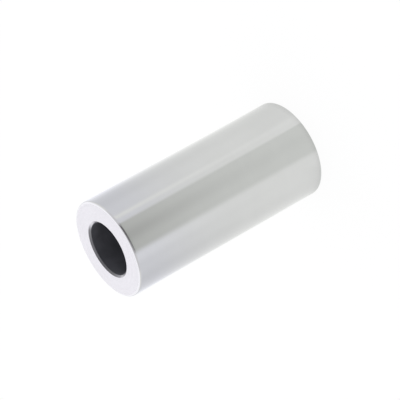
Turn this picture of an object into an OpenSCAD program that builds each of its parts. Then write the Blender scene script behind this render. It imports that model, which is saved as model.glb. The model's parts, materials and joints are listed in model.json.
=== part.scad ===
// Gudgeon pin: the hollow, ground steel pin that joins a piston to its connecting rod.
// It stands on one end, with its axis along +Z and its origin at the centre of the lower end.

/* [Pin] */
// Diameter of the ground outer surface
pin_d = 36; // [25:0.5:60]
// Length over the two end faces
pin_length = 80.5; // [40:0.5:140]
// Radius that rounds the outer edge of each end
edge_r = 0.8; // [0.2:0.1:3]

/* [Bore] */
// Diameter of the bore, which runs right through
bore_d = 20; // [8:0.5:30]
// Depth of the chamfer at each mouth of the bore, measured along the axis
chamfer_depth = 0.65; // [0.2:0.05:4]
// Angle between the chamfer and the axis
chamfer_angle = 45; // [20:1:60]

/* [Hidden] */

pin_r = pin_d / 2;
bore_r = bore_d / 2;
wall = pin_r - bore_r;
chamfer_width = chamfer_depth * tan(chamfer_angle);
ground_steel = [0.79, 0.79, 0.80];
$fn = 180;

// The sections below lie right of the axis: x is the radius and y the height.

// What rounding takes off the lower outer corner
module edge_waste() {
    translate([pin_r - edge_r, edge_r])
        difference() {
            mirror([0, 1]) square(2 * edge_r);
            circle(edge_r);
        }
}

// What the chamfer takes off the lower mouth of the bore
module mouth_waste() {
    translate([bore_r, 0])
        polygon([
            [-chamfer_width, -chamfer_depth],
            [2 * chamfer_width, -chamfer_depth],
            [-chamfer_width, 2 * chamfer_depth]
        ]);
}

// A cut at the lower end, and its mirror image at the upper end
module at_both_ends() {
    children();
    translate([0, pin_length]) mirror([0, 1]) children();
}

// The wall of the pin, from the bore to the outer surface
module wall_section() {
    difference() {
        translate([bore_r, 0]) square([wall, pin_length]);
        at_both_ends() edge_waste();
        at_both_ends() mouth_waste();
    }
}

module gudgeon_pin() {
    color(ground_steel) rotate_extrude() wall_section();
}

gudgeon_pin();
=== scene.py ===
"""A gudgeon pin on a pale studio floor: its turned form, its finishes and the stage that shows it."""

import json
import math

import bpy
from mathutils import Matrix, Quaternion, Vector


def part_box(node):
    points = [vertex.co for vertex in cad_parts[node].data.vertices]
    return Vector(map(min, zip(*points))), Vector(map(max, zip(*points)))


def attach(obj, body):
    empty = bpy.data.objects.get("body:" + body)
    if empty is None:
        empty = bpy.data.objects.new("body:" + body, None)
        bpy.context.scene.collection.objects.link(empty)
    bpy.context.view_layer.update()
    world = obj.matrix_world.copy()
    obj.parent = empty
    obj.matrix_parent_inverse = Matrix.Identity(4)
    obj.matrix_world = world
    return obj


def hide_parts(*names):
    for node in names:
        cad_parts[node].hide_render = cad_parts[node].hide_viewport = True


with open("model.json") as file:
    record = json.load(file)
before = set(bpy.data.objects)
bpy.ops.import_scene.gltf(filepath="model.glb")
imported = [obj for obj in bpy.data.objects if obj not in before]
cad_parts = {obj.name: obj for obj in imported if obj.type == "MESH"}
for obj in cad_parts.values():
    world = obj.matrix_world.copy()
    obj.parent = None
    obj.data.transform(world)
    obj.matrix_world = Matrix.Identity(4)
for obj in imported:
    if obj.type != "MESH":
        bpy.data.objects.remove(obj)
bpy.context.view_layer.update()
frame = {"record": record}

bl_info = {
    "name": "Gudgeon Pin",
    "version": (1, 0, 0),
    "blender": (4, 5, 0),
    "location": "View3D > Sidebar > Gudgeon Pin",
    "description": "Turns a hollow steel pin, finishes its surfaces and sets the stage that shows it",
    "category": "Add Mesh",
}

NODE = "gudgeon_pin"
BODY = "root"
MM = 0.001

# The pin's sizes in metres, as the frame gives them. A round wall stops short of each end face
# by the rounding or the chamfer there.
PIN_LOW, PIN_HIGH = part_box(NODE)
PIN_LENGTH = PIN_HIGH.z - PIN_LOW.z
PIN_MIDDLE = Vector((0.0, 0.0, PIN_LOW.z + PIN_LENGTH / 2))
MOUNTS = {mount["name"]: mount["dims"] for mount in frame["record"]["mounts"]}
PIN_RADIUS = MOUNTS["outer_surface"]["r_mm"] * MM
BORE_RADIUS = MOUNTS["bore"]["r_mm"] * MM
EDGE_RADIUS = (PIN_LENGTH - MOUNTS["outer_surface"]["length_mm"] * MM) / 2
MOUTH_CHAMFER = (PIN_LENGTH - MOUNTS["bore"]["length_mm"] * MM) / 2


# The settings


def length_setting(name, description, default):
    """A length in metres."""
    return bpy.props.FloatProperty(
        name=name, description=description, default=default, unit="LENGTH", precision=5
    )


def angle_setting(name, description, degrees):
    """An angle, given here in degrees and kept in radians."""
    return bpy.props.FloatProperty(
        name=name, description=description, default=math.radians(degrees), subtype="ANGLE"
    )


def colour_setting(name, description, default):
    """A colour, as shares of red, green and blue."""
    return bpy.props.FloatVectorProperty(
        name=name, description=description, default=default, size=3, min=0.0, max=1.0, subtype="COLOR"
    )


def share_setting(name, description, default, highest=1.0):
    """A share of something, from none to all of it or more."""
    return bpy.props.FloatProperty(
        name=name, description=description, default=default, min=0.0, max=highest, subtype="FACTOR"
    )


def count_setting(name, description, default):
    """A whole number of faces."""
    return bpy.props.IntProperty(name=name, description=description, default=default, min=1)


class PinSizes(bpy.types.PropertyGroup):
    """The turned form of the pin"""

    outer_diameter: length_setting("Outer diameter", "Across the ground outer surface", 2 * PIN_RADIUS)
    length: length_setting("Length", "Over the two end faces", PIN_LENGTH)
    bore_diameter: length_setting("Bore diameter", "Across the through bore", 2 * BORE_RADIUS)
    edge_radius: length_setting("Edge radius", "Rounding of the outer edge at each end", EDGE_RADIUS)
    mouth_chamfer: length_setting("Mouth chamfer", "Chamfer at each mouth of the bore", MOUTH_CHAMFER)
    round_segments: count_setting("Round segments", "Faces round the pin", 192)
    edge_segments: count_setting("Edge segments", "Faces across each rounded edge", 12)
    loop_spacing: length_setting("Loop spacing", "Longest face along the section", 1.0 * MM)


class PinFinishes(bpy.types.PropertyGroup):
    """The colour and roughness of each surface"""

    ground_colour: colour_setting("Ground steel", "The ground outer surface", (0.645, 0.645, 0.645))
    ground_roughness: share_setting("Ground roughness", "Roughness of the outer surface", 0.13)
    face_colour: colour_setting("Faced steel", "The end faces", (0.678, 0.670, 0.688))
    face_roughness: share_setting("Face roughness", "Roughness of the end faces", 0.50)
    # The mouths are cut steel like the end faces. Their dark colour is painted shade, standing in for the
    # dark surroundings that bright steel mirrors there.
    chamfer_colour: colour_setting("Chamfered steel", "The mouths of the bore", (0.137, 0.137, 0.147))
    chamfer_roughness: share_setting("Chamfer roughness", "Roughness of the mouths", 0.42)
    skin_colour: colour_setting("Skin", "The heat-treatment skin in the bore", (0.096, 0.098, 0.113))
    skin_roughness: share_setting("Skin roughness", "Roughness of that skin", 0.55)


class PinStage(bpy.types.PropertyGroup):
    """The camera, the floor and what the steel mirrors"""

    camera_elevation: angle_setting("Elevation", "Height of the camera over the horizon", 27.01)
    camera_roll: angle_setting("Roll", "Turn of the camera about its line of sight", -119.2)
    camera_distance: length_setting("Distance", "From the camera to its aim", 0.794)
    lens: bpy.props.FloatProperty(
        name="Lens", description="Focal length on a 36 mm sensor", default=206.8, unit="CAMERA"
    )
    aim_right: length_setting("Aim right", "Aim, right of the pin's middle in the picture", -0.042 * MM)
    aim_up: length_setting("Aim up", "Aim, above the pin's middle in the picture", -0.729 * MM)
    floor_side: length_setting("Floor", "Side of the square floor", 8.0)
    shadow: share_setting("Shadow", "Share of the pin's shadow that the floor shows", 0.07)
    floor_close: share_setting("Floor close by", "Mirrored floor at the pin's foot", 1.03, highest=2.0)
    floor_away: share_setting("Floor away", "Mirrored floor at its reach", 0.895, highest=2.0)
    strip_close: share_setting("Strip close by", "Mirrored grey strip at the pin's foot", 0.875)
    strip_away: share_setting("Strip away", "Mirrored grey strip at its reach", 0.685)
    strip_left: angle_setting("Strip left", "Left edge of the strip, from the camera's side", -34.0)
    strip_right: angle_setting("Strip right", "Right edge of the strip, from the camera's side", 36.2)
    reach: length_setting("Reach", "Floor that the pin mirrors from foot to top", 0.158)
    card: share_setting("Card", "Brightness of the dark card over the camera", 0.17)
    softbox: bpy.props.FloatProperty(
        name="Softbox", description="Power of the lamp behind the pin", default=5.5, unit="POWER"
    )


# The nodes


class Wire:
    """A node's output. Arithmetic on it adds Math nodes to its tree."""

    def __init__(self, nodes, socket):
        self.nodes = nodes
        self.socket = socket

    def beside(self, name):
        """Another output of the same node."""
        return Wire(self.nodes, self.nodes.find(self.socket.node.outputs, name))

    def math(self, operation, *others):
        """A Math node for which Python has no sign."""
        return self.nodes.math(operation, self, *others)

    def __add__(self, other):
        return self.nodes.math("ADD", self, other)

    def __radd__(self, other):
        return self.nodes.math("ADD", other, self)

    def __sub__(self, other):
        return self.nodes.math("SUBTRACT", self, other)

    def __rsub__(self, other):
        return self.nodes.math("SUBTRACT", other, self)

    def __mul__(self, other):
        return self.nodes.math("MULTIPLY", self, other)

    def __rmul__(self, other):
        return self.nodes.math("MULTIPLY", other, self)

    def __truediv__(self, other):
        return self.nodes.math("DIVIDE", self, other)

    def __rtruediv__(self, other):
        return self.nodes.math("DIVIDE", other, self)

    def __gt__(self, other):
        return self.nodes.math("GREATER_THAN", self, other)

    def __lt__(self, other):
        return self.nodes.math("LESS_THAN", self, other)

    def __abs__(self):
        return self.nodes.math("ABSOLUTE", self)


class Nodes:
    """Adds nodes to one tree, which starts empty."""

    def __init__(self, tree):
        self.tree = tree
        tree.nodes.clear()

    @staticmethod
    def find(sockets, key):
        """The socket with that number, or the first one in use with that name."""
        if isinstance(key, int):
            return sockets[key]
        return next(socket for socket in sockets if socket.enabled and socket.name == key)

    def add(self, kind, settings, sockets, out=0):
        """Add a node, its settings first and then its sockets, and give one of its outputs."""
        node = self.tree.nodes.new(kind)
        for name, value in settings.items():
            setattr(node, name, value)
        for key, value in sockets.items():
            socket = self.find(node.inputs, key)
            if isinstance(value, Wire):
                self.tree.links.new(value.socket, socket)
            else:
                socket.default_value = value
        return Wire(self, self.find(node.outputs, out)) if node.outputs else None

    def math(self, operation, *values):
        """Add a Math node."""
        return self.add("ShaderNodeMath", {"operation": operation}, dict(enumerate(values)))


def parts_of(nodes, vector):
    """The X, Y and Z of a vector."""
    x = nodes.add("ShaderNodeSeparateXYZ", {}, {"Vector": vector}, "X")
    return x, x.beside("Y"), x.beside("Z")


def distance_out(x, y):
    """The distance from where x and y are both 0."""
    return (x * x + y * y).math("SQRT")


# The turned form

PIN_INPUTS = {
    "Outer Diameter": "NodeSocketFloat",
    "Length": "NodeSocketFloat",
    "Bore Diameter": "NodeSocketFloat",
    "Edge Radius": "NodeSocketFloat",
    "Mouth Chamfer": "NodeSocketFloat",
    "Round Segments": "NodeSocketInt",
    "Edge Segments": "NodeSocketInt",
    "Loop Spacing": "NodeSocketFloat",
    "Ground Finish": "NodeSocketMaterial",
    "Faced Finish": "NodeSocketMaterial",
    "Chamfered Finish": "NodeSocketMaterial",
    "Skin Finish": "NodeSocketMaterial",
}
SHARP_ANGLE = math.radians(30)
# How upright a face's normal is: more than the first on an end face, less than the second on a wall.
FLAT_END = 0.999
STEEP_WALL = 0.1


def wall_section(nodes, sizes):
    """The section of the wall: outer corners rounded, inner corners chamfered, long runs divided."""
    wall = (sizes.beside("Outer Diameter") - sizes.beside("Bore Diameter")) / 2
    outline = nodes.add(
        "GeometryNodeCurvePrimitiveQuadrilateral",
        {"mode": "RECTANGLE"},
        {"Width": wall, "Height": sizes.beside("Length")},
    )
    place = nodes.add("GeometryNodeInputPosition", {}, {})
    outer = nodes.add("ShaderNodeSeparateXYZ", {}, {"Vector": place}, "X") > 0.0
    # A fillet of one segment is a chamfer.
    eased = nodes.add(
        "GeometryNodeFilletCurve",
        {"mode": "POLY"},
        {
            "Curve": outline,
            "Radius": outer * sizes.beside("Edge Radius") + (1 - outer) * sizes.beside("Mouth Chamfer"),
            "Count": outer * sizes.beside("Edge Segments") + (1 - outer),
        },
    )
    following = nodes.add("GeometryNodeOffsetPointInCurve", {}, {"Offset": 1}, "Point Index")
    next_place = nodes.add(
        "GeometryNodeFieldAtIndex",
        {"domain": "POINT", "data_type": "FLOAT_VECTOR"},
        {"Value": place, "Index": following},
    )
    run = nodes.add("ShaderNodeVectorMath", {"operation": "DISTANCE"}, {0: place, 1: next_place}, "Value")
    cuts = (run / sizes.beside("Loop Spacing")).math("FLOOR")
    return nodes.add("GeometryNodeSubdivideCurve", {}, {"Curve": eased, "Cuts": cuts})


def finish_zones(nodes, sizes, pin):
    """The pin with a finish on each of its surfaces, told apart by the way they face."""
    x, y, _ = parts_of(nodes, nodes.add("GeometryNodeInputPosition", {}, {}))
    normal = nodes.add("GeometryNodeInputNormal", {}, {}, "Normal")
    upright = abs(nodes.add("ShaderNodeSeparateXYZ", {}, {"Vector": normal}, "Z"))
    inner = distance_out(x, y) < sizes.beside("Bore Diameter") / 2 + sizes.beside("Mouth Chamfer")
    sockets = {"Geometry": pin, "Material": sizes.beside("Ground Finish")}
    pin = nodes.add("GeometryNodeSetMaterial", {}, sockets)
    zones = {
        "Faced Finish": upright > FLAT_END,
        "Chamfered Finish": inner * (upright < FLAT_END),
        "Skin Finish": inner * (upright < STEEP_WALL),
    }
    for finish, zone in zones.items():
        sockets = {"Geometry": pin, "Selection": zone, "Material": sizes.beside(finish)}
        pin = nodes.add("GeometryNodeSetMaterial", {}, sockets)
    return pin


def turned_pin_tree():
    """Geometry Nodes that turn the wall's section round the pin's axis."""
    tree = bpy.data.node_groups.new("turned_pin", "GeometryNodeTree")
    tree.interface.new_socket("Pin", in_out="OUTPUT", socket_type="NodeSocketGeometry")
    for name, kind in PIN_INPUTS.items():
        tree.interface.new_socket(name, in_out="INPUT", socket_type=kind)
    nodes = Nodes(tree)
    sizes = nodes.add("NodeGroupInput", {}, {})
    # The section's middle runs round a circle half way through the wall.
    path = nodes.add(
        "GeometryNodeCurvePrimitiveCircle",
        {"mode": "RADIUS"},
        {
            "Resolution": sizes.beside("Round Segments"),
            "Radius": (sizes.beside("Outer Diameter") + sizes.beside("Bore Diameter")) / 4,
        },
    )
    turned = nodes.add(
        "GeometryNodeCurveToMesh", {}, {"Curve": path, "Profile Curve": wall_section(nodes, sizes)}
    )
    lift = nodes.add("ShaderNodeCombineXYZ", {}, {"Z": sizes.beside("Length") / 2})
    standing = nodes.add("GeometryNodeTransform", {}, {"Geometry": turned, "Translation": lift})
    smooth = nodes.add("GeometryNodeSetShadeSmooth", {"domain": "FACE"}, {"Geometry": standing})
    corner = nodes.add("GeometryNodeInputMeshEdgeAngle", {}, {}, "Unsigned Angle") > SHARP_ANGLE
    creased = nodes.add(
        "GeometryNodeSetShadeSmooth",
        {"domain": "EDGE"},
        {"Geometry": smooth, "Selection": corner, "Shade Smooth": False},
    )
    whole = nodes.add("GeometryNodeRealizeInstances", {}, {"Geometry": creased})
    nodes.add("NodeGroupOutput", {}, {"Pin": finish_zones(nodes, sizes, whole)})
    return tree


def evaluated_piece(name, tree, values):
    """A plain mesh object from a Geometry Nodes tree, with a value for each of the tree's inputs."""
    carrier = bpy.data.objects.new(name, bpy.data.meshes.new(name))
    bpy.context.collection.objects.link(carrier)
    modifier = carrier.modifiers.new("turning", "NODES")
    modifier.node_group = tree
    for item in tree.interface.items_tree:
        if item.in_out == "INPUT":
            modifier[item.identifier] = values[item.name]
    depsgraph = bpy.context.evaluated_depsgraph_get()
    mesh = bpy.data.meshes.new_from_object(carrier.evaluated_get(depsgraph), depsgraph=depsgraph)
    carrier.modifiers.remove(modifier)
    carrier.data = mesh
    if not mesh.polygons:
        raise RuntimeError(f"{name} came out with no faces")
    return carrier


# What the materials share

WHITE = (1.0, 1.0, 1.0, 1.0)
MIDDLE_TONE = 0.5


def in_radians(*degrees):
    """The radians of angles given in degrees."""
    return tuple(math.radians(angle) for angle in degrees)


def new_material(name):
    """A material and its empty tree."""
    material = bpy.data.materials.new(name)
    material.use_nodes = True
    return material, Nodes(material.node_tree)


def show(nodes, shader):
    """Join a shader to the material's output."""
    nodes.add("ShaderNodeOutputMaterial", {}, {"Surface": shader})


def object_place(nodes):
    """X, Y and Z on the object, in metres."""
    return parts_of(nodes, nodes.add("ShaderNodeTexCoord", {}, {}, "Object"))


def ramp(nodes, value, start, end):
    """0 before start, 1 after end, and smooth between them."""
    return nodes.add(
        "ShaderNodeMapRange",
        {"interpolation_type": "SMOOTHSTEP"},
        {"Value": value, "From Min": start, "From Max": end},
    )


def noise(nodes, x, y, z, detail=2.0):
    """Noise from 0 to 1, in which each way is measured in the pattern's own size."""
    place = nodes.add("ShaderNodeCombineXYZ", {}, {"X": x, "Y": y, "Z": z})
    return nodes.add("ShaderNodeTexNoise", {}, {"Vector": place, "Scale": 1.0, "Detail": detail}, "Fac")


def weighted(shares, *patterns):
    """Patterns added up, each by its share."""
    first, *others = (pattern * share for pattern, share in zip(patterns, shares))
    return sum(others, first)


def shade(colour, share):
    """A colour made darker or lighter, and opaque."""
    return (*(channel * share for channel in colour), 1.0)


def between(nodes, mask, low, high):
    """A colour that goes from low to high with a mask."""
    sockets = {"Factor": mask, "A": low, "B": high}
    return nodes.add("ShaderNodeMix", {"data_type": "RGBA"}, sockets, "Result")


def scaled(nodes, colour, level):
    """A colour made darker or lighter by a level that changes over the surface."""
    return nodes.add("ShaderNodeVectorMath", {"operation": "SCALE"}, {0: colour, "Scale": level})


def toned(nodes, colour, tone, contrast):
    """A colour made darker where a tone is 0, and lighter by as much where it is 1."""
    return between(nodes, tone, shade(colour, 1 - contrast), shade(colour, 1 + contrast))


def spread_out(middle, tone, spread):
    """A value that a tone moves to both sides of its middle, by the spread in all."""
    return middle + (tone - MIDDLE_TONE) * spread


def relief(nodes, height, depth):
    """A normal from a height between 0 and 1."""
    return nodes.add("ShaderNodeBump", {}, {"Strength": 1.0, "Distance": depth, "Height": height})


def steel(nodes, sockets):
    """The shader of a steel surface, joined to the material's output."""
    show(nodes, nodes.add("ShaderNodeBsdfPrincipled", {}, sockets))


# The finishes. Each has the sizes of its marks, their shares of its tone and its relief, the relief's
# depth, how far the tone moves its colour and its roughness, and what is even all over.

QUARTER_TURN = 0.25

GRIND_LINE = 0.12 * MM
GRIND_BAND = 0.9 * MM
GRIND_RUN = 30.0 * MM
GRIND_HAZE = 9.0 * MM
GROUND_TONE = (0.25, 0.2, 0.55)
GROUND_RELIEF = (0.7, 0.3)
GROUND_DEPTH = 0.0012 * MM
GROUND_CONTRAST = 0.05
GROUND_SPREAD = 0.08
GROUND_EVEN = {"Metallic": 1.0, "Anisotropic": 0.4, "Anisotropic Rotation": QUARTER_TURN}


def ground_finish(finishes):
    """Ground and polished steel: hair-fine lines round the pin, under a faint haze."""
    material, nodes = new_material("ground_outer_surface")
    x, y, z = object_place(nodes)
    lines = noise(nodes, x / GRIND_RUN, y / GRIND_RUN, z / GRIND_LINE)
    bands = noise(nodes, x / GRIND_RUN, y / GRIND_RUN, z / GRIND_BAND)
    haze = noise(nodes, x / GRIND_HAZE, y / GRIND_HAZE, z / GRIND_HAZE)
    tone = weighted(GROUND_TONE, lines, bands, haze)
    steel(
        nodes,
        {
            "Base Color": toned(nodes, finishes.ground_colour, tone, GROUND_CONTRAST),
            "Roughness": spread_out(finishes.ground_roughness, tone, GROUND_SPREAD),
            "Normal": relief(nodes, weighted(GROUND_RELIEF, lines, bands), GROUND_DEPTH),
            **GROUND_EVEN,
        },
    )
    return material


FACING_LINE = 0.16 * MM
FACING_BAND = 1.1 * MM
FACING_RUN = 9.0 * MM
FACING_GRAIN = 0.6 * MM
FACED_TONE = (0.2, 0.2, 0.6)
FACED_RELIEF = (0.6, 0.4)
FACED_DEPTH = 0.003 * MM
FACED_CONTRAST = 0.22
FACED_SPREAD = 0.15
FACED_EVEN = {"Metallic": 0.45}


def faced_finish(finishes):
    """Faced steel: a fine lay of rings about the axis, with a little grain."""
    material, nodes = new_material("faced_end")
    x, y, z = object_place(nodes)
    radius = distance_out(x, y)
    rings = noise(nodes, x / FACING_RUN, y / FACING_RUN, radius / FACING_LINE)
    bands = noise(nodes, x / FACING_RUN, y / FACING_RUN, radius / FACING_BAND)
    grain = noise(nodes, x / FACING_GRAIN, y / FACING_GRAIN, z / FACING_GRAIN)
    tone = weighted(FACED_TONE, rings, bands, grain)
    steel(
        nodes,
        {
            "Base Color": toned(nodes, finishes.face_colour, tone, FACED_CONTRAST),
            "Roughness": spread_out(finishes.face_roughness, tone, FACED_SPREAD),
            "Normal": relief(nodes, weighted(FACED_RELIEF, rings, grain), FACED_DEPTH),
            **FACED_EVEN,
        },
    )
    return material


# Stretches of the mouth: the azimuth of the middle, and how far from it they end and are full.
# One stretch of the mouth is darker than the rest.
DARK_STRETCH = in_radians(125, 37, 14)
# Painted highlights: two stretches of the mouth take the faced steel's light colour where the mouth's
# ends show bright reflections.
PAINTED_HIGHLIGHT_STRETCHES = (in_radians(-14, 48, 8), in_radians(-158, 36, 8))
PAINTED_HIGHLIGHT_SHADE = 0.9
CHAMFER_TONE = 0.3
CHAMFER_RING_TONE = 0.4
CHAMFER_DARK_TONE = 0.275
CHAMFER_DEPTH = 0.003 * MM
CHAMFER_CONTRAST = 0.75
CHAMFER_SPREAD = 0.12
CHAMFER_EVEN = {"Metallic": 1.0, "Coat Weight": 1.0, "Coat Roughness": 0.12, "Coat IOR": 1.7}


def chamfered_finish(finishes):
    """Countersunk steel under a film of oil: rings like the face's, a darker stretch, a dark colour of
    painted shade and two stretches of painted highlight.
    """
    material, nodes = new_material("chamfered_mouth")
    x, y, _ = object_place(nodes)
    radius = distance_out(x, y)
    rings = noise(nodes, x / FACING_RUN, y / FACING_RUN, radius / FACING_LINE)

    def stretch(middle, end, full):
        """1 in the middle of a stretch of the mouth, and 0 past its ends."""
        toward_middle = (x * math.cos(middle) + y * math.sin(middle)) / radius
        return ramp(nodes, toward_middle, math.cos(end), math.cos(full))

    tone = CHAMFER_TONE + rings * CHAMFER_RING_TONE - stretch(*DARK_STRETCH) * CHAMFER_DARK_TONE
    # The chamfer's dark colour is painted shade for the dark surroundings that the cut steel mirrors.
    colour = toned(nodes, finishes.chamfer_colour, tone, CHAMFER_CONTRAST)
    # Painted highlights: the faced steel's light colour over two stretches of the mouth.
    for highlight_stretch in PAINTED_HIGHLIGHT_STRETCHES:
        colour = between(nodes, stretch(*highlight_stretch), colour, shade(finishes.face_colour, PAINTED_HIGHLIGHT_SHADE))
    steel(
        nodes,
        {
            "Base Color": colour,
            "Roughness": spread_out(finishes.chamfer_roughness, rings, CHAMFER_SPREAD),
            "Normal": relief(nodes, rings, CHAMFER_DEPTH),
            **CHAMFER_EVEN,
        },
    )
    return material


SKIN_MOTTLE = 3.5 * MM
SKIN_MOTTLE_DETAIL = 4.0
DRILL_LINE = 0.3 * MM
DRILL_RUN = 14.0 * MM
SKIN_TONE = (0.7, 0.3)
SKIN_DEPTH = 0.015 * MM
SKIN_CONTRAST = 0.45
SKIN_SPREAD = 0.3
SKIN_EVEN = {"Metallic": 0.6, "Anisotropic": 0.9, "Anisotropic Rotation": QUARTER_TURN}


def skin_finish(finishes):
    """Dark heat-treatment skin on the drilled bore: mottled, over the rings that the drill left."""
    material, nodes = new_material("bore_skin")
    x, y, z = object_place(nodes)
    mottle = noise(nodes, x / SKIN_MOTTLE, y / SKIN_MOTTLE, z / SKIN_MOTTLE, SKIN_MOTTLE_DETAIL)
    rings = noise(nodes, x / DRILL_RUN, y / DRILL_RUN, z / DRILL_LINE)
    tone = weighted(SKIN_TONE, mottle, rings)
    steel(
        nodes,
        {
            "Base Color": toned(nodes, finishes.skin_colour, tone, SKIN_CONTRAST),
            "Roughness": spread_out(finishes.skin_roughness, tone, SKIN_SPREAD),
            "Normal": relief(nodes, tone, SKIN_DEPTH),
            **SKIN_EVEN,
        },
    )
    return material


# The floor. The steel mirrors a pattern on it, laid out by azimuth from the camera's side: right is
# positive, as the camera would see it with the pin upright.

FLOOR_WHITE = (0.97, 0.97, 0.97, 1.0)
FLOOR_TINT_CLOSE = (0.99, 1.0, 0.985, 1.0)
FLOOR_TINT_AWAY = (0.99, 1.0, 1.06, 1.0)
STRIP_TINT = (0.98, 1.0, 0.97, 1.0)
# Half the width of each soft edge of the strip
STRIP_SOFT_LEFT = math.radians(7)
STRIP_SOFT_RIGHT = math.radians(2)
# A peak is a middle and a half width.
CREASE = in_radians(4.5, 24)
LEFT_STREAK = in_radians(46, 20)
RIGHT_STREAK = in_radians(52.5, 8)
SIDES = in_radians(103, 28)
# A ramp is a start and an end, in azimuth or in distance.
GLOW = in_radians(120, 158)
BACK = in_radians(152, 180)
LEFT_FOOT = in_radians(50, 70)
RIGHT_FOOT = in_radians(45, 70)
LEFT_FOOT_REACH = (25.0 * MM, 3.0 * MM)
RIGHT_FOOT_REACH = (60.0 * MM, 10.0 * MM)
CONTACT = (-1.0 * MM, 4.5 * MM)
FAR_FLOOR = (0.18, 0.3)
# A gain or a loss is a share of the brightness. Of two, the first is at the pin's foot, and the second
# is added to it at the reach.
CREASE_LOSS = (0.03, 0.11)
LEFT_STREAK_GAIN = (0.0, 0.10)
RIGHT_STREAK_GAIN = (0.03, 0.12)
SIDES_LOSS = (0.03, 0.03)
LEFT_GLOW_GAIN = (-0.02, 0.17)
RIGHT_GLOW_GAIN = (0.16, 0.08)
BACK_GAIN = (0.07, 0.12)
FOOT_LOSS = 0.05
CONTACT_LOSS = 0.11


class FloorFan:
    """The floor as a round wall mirrors it: a fan that opens from half way out to the wall."""

    def __init__(self, nodes, reach):
        self.nodes = nodes
        x, y, _ = object_place(nodes)
        # From the point that the fan opens from, toward the camera's side.
        ahead = y * -1 - PIN_RADIUS / 2
        self.right = x.math("ARCTAN2", ahead)
        self.left = self.right * -1
        self.aside = abs(self.right)
        self.distance = distance_out(x, ahead) - PIN_RADIUS / 2
        self.from_wall = distance_out(x, y) - PIN_RADIUS
        way_out = (self.distance / reach).math("MAXIMUM", 0.0).math("MINIMUM", 1.0)
        self.away = way_out * way_out

    def ramp(self, value, start, end):
        """A ramp in the floor's own tree."""
        return ramp(self.nodes, value, start, end)

    def peak(self, angle, middle, half_width):
        """1 at the middle, and 0 from half the width on."""
        return self.ramp(abs(angle - middle), half_width, 0.0)

    def share(self, close, added):
        """The first value at the pin's foot, with the second added in full at the reach."""
        return close + self.away * added

    def change(self, close, away):
        """The first value at the pin's foot, which turns into the second at the reach."""
        return self.share(close, away - close)

    def strip(self, stage):
        """1 in the grey strip on the camera's side, and 0 beside it."""
        left, right = stage.strip_left, stage.strip_right
        past_left = self.ramp(self.right, left - STRIP_SOFT_LEFT, left + STRIP_SOFT_LEFT)
        before_right = self.ramp(self.right, right + STRIP_SOFT_RIGHT, right - STRIP_SOFT_RIGHT)
        return past_left * before_right

    def strip_level(self, stage):
        """The grey strip, with a darker crease, which fades into the dark card's level far out."""
        grey = self.change(stage.strip_close, stage.strip_away)
        grey = grey * (1 - self.peak(self.right, *CREASE) * self.share(*CREASE_LOSS))
        return grey + (stage.card - grey) * self.ramp(self.distance, *FAR_FLOOR)

    def back_glow(self, back):
        """The lighter floor on both sides of the back, brought to one level straight behind."""
        left = self.ramp(self.left, *GLOW) * self.share(*LEFT_GLOW_GAIN)
        right = self.ramp(self.right, *GLOW) * self.share(*RIGHT_GLOW_GAIN)
        sides = left + right
        return sides + (self.share(*BACK_GAIN) - sides) * back

    def foot_shade(self):
        """The shade close to the pin's foot, left and right."""
        left = self.ramp(self.left, *LEFT_FOOT) * self.ramp(self.distance, *LEFT_FOOT_REACH)
        right = self.ramp(self.right, *RIGHT_FOOT) * self.ramp(self.distance, *RIGHT_FOOT_REACH)
        return (left + right) * FOOT_LOSS

    def white_level(self, stage):
        """The white floor, with a streak on each side of the strip."""
        back = self.ramp(self.aside, *BACK)
        gain = (
            1
            + self.peak(self.left, *LEFT_STREAK) * self.share(*LEFT_STREAK_GAIN)
            + self.peak(self.right, *RIGHT_STREAK) * self.share(*RIGHT_STREAK_GAIN)
            - self.peak(self.aside, *SIDES) * self.share(*SIDES_LOSS)
            + self.back_glow(back)
            - self.foot_shade() * (1 - back)
        )
        return self.change(stage.floor_close, stage.floor_away) * gain

    def white_tint(self):
        """The white floor's tint, which turns bluer with distance, but not in the right streak."""
        tint = between(self.nodes, self.away * self.away, FLOOR_TINT_CLOSE, FLOOR_TINT_AWAY)
        return between(self.nodes, self.peak(self.right, *RIGHT_STREAK), tint, FLOOR_TINT_CLOSE)

    def contact(self):
        """The share of light that is left: less right beside the wall, and all of it farther out."""
        return 1 - CONTACT_LOSS + self.ramp(self.from_wall, *CONTACT) * CONTACT_LOSS


def own_light(nodes, colour):
    """A surface that gives its own light."""
    return nodes.add("ShaderNodeEmission", {}, {"Color": colour, "Strength": 1.0})


def mirrored_floor(nodes, stage):
    """The floor as the steel mirrors it: white, with a grey strip that fans out on the camera's side."""
    fan = FloorFan(nodes, stage.reach)
    strip = fan.strip(stage)
    white = fan.white_level(stage)
    level = (white + (fan.strip_level(stage) - white) * strip) * fan.contact()
    tint = between(nodes, strip, fan.white_tint(), STRIP_TINT)
    return own_light(nodes, scaled(nodes, tint, level))


def floor_finish(stage):
    """White to the camera under a faint shadow, matt white to soft light, the fan to the steel."""
    material, nodes = new_material("studio_floor")
    camera = nodes.add("ShaderNodeLightPath", {}, {}, "Is Camera Ray")
    mirrored = camera.beside("Is Glossy Ray").math("MAXIMUM", camera.beside("Is Transmission Ray"))
    matt = nodes.add("ShaderNodeBsdfDiffuse", {}, {"Color": FLOOR_WHITE})
    white = own_light(nodes, WHITE)
    seen = nodes.add("ShaderNodeMixShader", {}, {0: camera * (1 - stage.shadow), 1: matt, 2: white})
    fan = mirrored_floor(nodes, stage)
    show(nodes, nodes.add("ShaderNodeMixShader", {}, {0: mirrored, 1: seen, 2: fan}))
    return material


# The cards and the lamp. Each card's left, right, bottom and top are shares of its distance, and so are
# the places across it.

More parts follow.
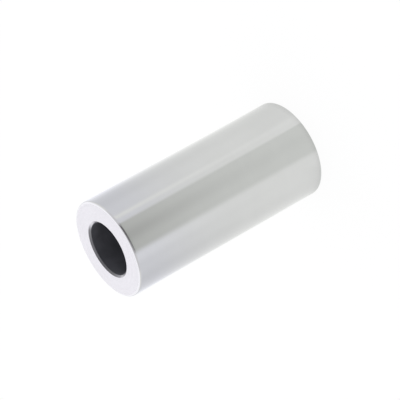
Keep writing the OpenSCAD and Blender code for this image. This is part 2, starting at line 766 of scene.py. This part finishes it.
CAMERA_SIDE = -1
FAR_SIDE = 1
CARD_ELEVATION = math.radians(30)
CARD_TINT = (0.995, 0.985, 1.03)
DARK_CARD = (-0.66, 0.57, -0.55, 0.55)
DARK_CARD_DISTANCE = 0.8
DARK_CARD_FADE = (0.2, -0.5)
DARK_CARD_FADE_GAIN = 0.28
DARK_CARD_EDGE = (-0.48, -0.66)
PALE_CARD = (-3.0, 3.0, -0.55, 1.73)
PALE_CARD_DISTANCE = 0.9
PALE_CARD_LIGHT = 0.84
SOFTBOX_DISTANCE = 1.1
SOFTBOX_ELEVATION = math.radians(46)
SOFTBOX_SIDES = (2.4, 1.72)
SOFTBOX_COLOUR = (0.86, 0.84, 1.0)


def toward(elevation, side):
    """The direction from the pin at that height over the horizon, on the camera's side or the far one."""
    return Vector((0.0, side * math.cos(elevation), math.sin(elevation)))


def stage_sheet(name, corners, material):
    """A flat four-cornered sheet that belongs to the stage."""
    mesh = bpy.data.meshes.new(name)
    mesh.from_pydata(corners, [], [(0, 1, 2, 3)])
    mesh.materials.append(material)
    sheet = bpy.data.objects.new(name, mesh)
    bpy.context.collection.objects.link(sheet)
    return sheet


def lay_floor(stage):
    """The square floor that the pin stands on."""
    half = stage.floor_side / 2
    ground = PIN_LOW.z
    corners = [(-half, -half, ground), (half, -half, ground), (half, half, ground), (-half, half, ground)]
    stage_sheet("floor", corners, floor_finish(stage))


def dark_card_finish(stage):
    """Dark grey that grows lighter to the left, and meets the pale card's level at its left edge."""
    material, nodes = new_material("dark_card")
    side = object_place(nodes)[0] / DARK_CARD_DISTANCE
    level = stage.card + ramp(nodes, side, *DARK_CARD_FADE) * DARK_CARD_FADE_GAIN
    level = level + (PALE_CARD_LIGHT - level) * ramp(nodes, side, *DARK_CARD_EDGE)
    show(nodes, own_light(nodes, scaled(nodes, CARD_TINT, level)))
    return material


def pale_card_finish():
    """Even pale grey."""
    material, nodes = new_material("pale_card")
    show(nodes, own_light(nodes, shade(CARD_TINT, PALE_CARD_LIGHT)))
    return material


def hang_card(name, distance, edges, material):
    """A card that leans over the camera's side, which only the steel sees."""
    out = toward(CARD_ELEVATION, CAMERA_SIDE)
    across = Vector((1.0, 0.0, 0.0))
    up = across.cross(-out)
    centre = PIN_MIDDLE + out * distance
    left, right, bottom, top = edges
    corners = [
        centre + (across * side + up * height) * distance
        for side, height in ((left, bottom), (right, bottom), (right, top), (left, top))
    ]
    card = stage_sheet(name, corners, material)
    card.visible_camera = False
    card.visible_diffuse = False
    card.visible_transmission = False
    card.visible_shadow = False


def hang_cards(stage):
    """A dark card in front of a wide pale one."""
    hang_card("dark_card", DARK_CARD_DISTANCE, DARK_CARD, dark_card_finish(stage))
    hang_card("pale_card", PALE_CARD_DISTANCE, PALE_CARD, pale_card_finish())


def hang_softbox(stage):
    """A lamp behind the pin, which the upper end face mirrors to the camera."""
    lamp = bpy.data.lights.new("softbox", "AREA")
    lamp.shape = "RECTANGLE"
    lamp.size, lamp.size_y = SOFTBOX_SIDES
    lamp.energy = stage.softbox
    lamp.color = SOFTBOX_COLOUR
    holder = bpy.data.objects.new("softbox", lamp)
    out = toward(SOFTBOX_ELEVATION, FAR_SIDE)
    holder.location = PIN_MIDDLE + out * SOFTBOX_DISTANCE
    holder.rotation_mode = "QUATERNION"
    holder.rotation_quaternion = (-out).to_track_quat("-Z", "Y")
    bpy.context.collection.objects.link(holder)


def light_world():
    """White all round."""
    world = bpy.data.worlds.new("white_studio")
    world.use_nodes = True
    nodes = Nodes(world.node_tree)
    white = nodes.add("ShaderNodeBackground", {}, {"Color": WHITE, "Strength": 1.0})
    nodes.add("ShaderNodeOutputWorld", {}, {"Surface": white})
    bpy.context.scene.world = world


def place_camera(stage):
    """The camera on its own side of the pin, rolled, with its aim moved in the picture."""
    camera = bpy.data.objects.new("camera", bpy.data.cameras.new("camera"))
    camera.data.lens = stage.lens
    out = toward(stage.camera_elevation, CAMERA_SIDE)
    level = (-out).to_track_quat("-Z", "Y")
    rolled = level @ Quaternion((0.0, 0.0, 1.0), stage.camera_roll)
    aim = PIN_MIDDLE + rolled @ Vector((stage.aim_right, stage.aim_up, 0.0))
    camera.location = aim + out * stage.camera_distance
    camera.rotation_mode = "QUATERNION"
    camera.rotation_quaternion = rolled
    bpy.context.collection.objects.link(camera)
    bpy.context.scene.camera = camera


# The add-on


class GUDGEON_PIN_OT_turn_pin(bpy.types.Operator):
    """Turn the pin, finish its surfaces and let it stand for the plain solid"""

    bl_idname = "gudgeon_pin.turn_pin"
    bl_label = "Turn Pin"

    def execute(self, context):
        sizes = context.scene.pin_sizes
        finishes = context.scene.pin_finishes
        values = {
            "Outer Diameter": sizes.outer_diameter,
            "Length": sizes.length,
            "Bore Diameter": sizes.bore_diameter,
            "Edge Radius": sizes.edge_radius,
            "Mouth Chamfer": sizes.mouth_chamfer,
            "Round Segments": sizes.round_segments,
            "Edge Segments": sizes.edge_segments,
            "Loop Spacing": sizes.loop_spacing,
            "Ground Finish": ground_finish(finishes),
            "Faced Finish": faced_finish(finishes),
            "Chamfered Finish": chamfered_finish(finishes),
            "Skin Finish": skin_finish(finishes),
        }
        pin = evaluated_piece("finished_pin", turned_pin_tree(), values)
        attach(pin, BODY)
        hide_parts(NODE)
        return {"FINISHED"}


class GUDGEON_PIN_OT_set_stage(bpy.types.Operator):
    """Lay the floor, hang the cards and the lamp, and place the camera"""

    bl_idname = "gudgeon_pin.set_stage"
    bl_label = "Set Stage"

    def execute(self, context):
        stage = context.scene.pin_stage
        lay_floor(stage)
        hang_cards(stage)
        hang_softbox(stage)
        light_world()
        place_camera(stage)
        context.scene.view_settings.view_transform = "Standard"
        return {"FINISHED"}


class GUDGEON_PIN_PT_sidebar(bpy.types.Panel):
    """The pin's settings and the buttons that make it"""

    bl_idname = "GUDGEON_PIN_PT_sidebar"
    bl_label = "Gudgeon Pin"
    bl_space_type = "VIEW_3D"
    bl_region_type = "UI"
    bl_category = "Gudgeon Pin"

    def draw(self, context):
        parts = (
            (context.scene.pin_sizes, None),
            (context.scene.pin_finishes, GUDGEON_PIN_OT_turn_pin.bl_idname),
            (context.scene.pin_stage, GUDGEON_PIN_OT_set_stage.bl_idname),
        )
        for settings, button in parts:
            box = self.layout.box()
            for name in settings.__annotations__:
                box.prop(settings, name)
            if button:
                box.operator(button)


CLASSES = (
    PinSizes,
    PinFinishes,
    PinStage,
    GUDGEON_PIN_OT_turn_pin,
    GUDGEON_PIN_OT_set_stage,
    GUDGEON_PIN_PT_sidebar,
)
SETTINGS = {"pin_sizes": PinSizes, "pin_finishes": PinFinishes, "pin_stage": PinStage}


def register():
    for each in CLASSES:
        bpy.utils.register_class(each)
    for name, group in SETTINGS.items():
        setattr(bpy.types.Scene, name, bpy.props.PointerProperty(type=group))


def unregister():
    for name in SETTINGS:
        delattr(bpy.types.Scene, name)
    for each in reversed(CLASSES):
        bpy.utils.unregister_class(each)


def main():
    register()
    bpy.ops.gudgeon_pin.turn_pin()
    bpy.ops.gudgeon_pin.set_stage()


if __name__ == "__main__":
    main()
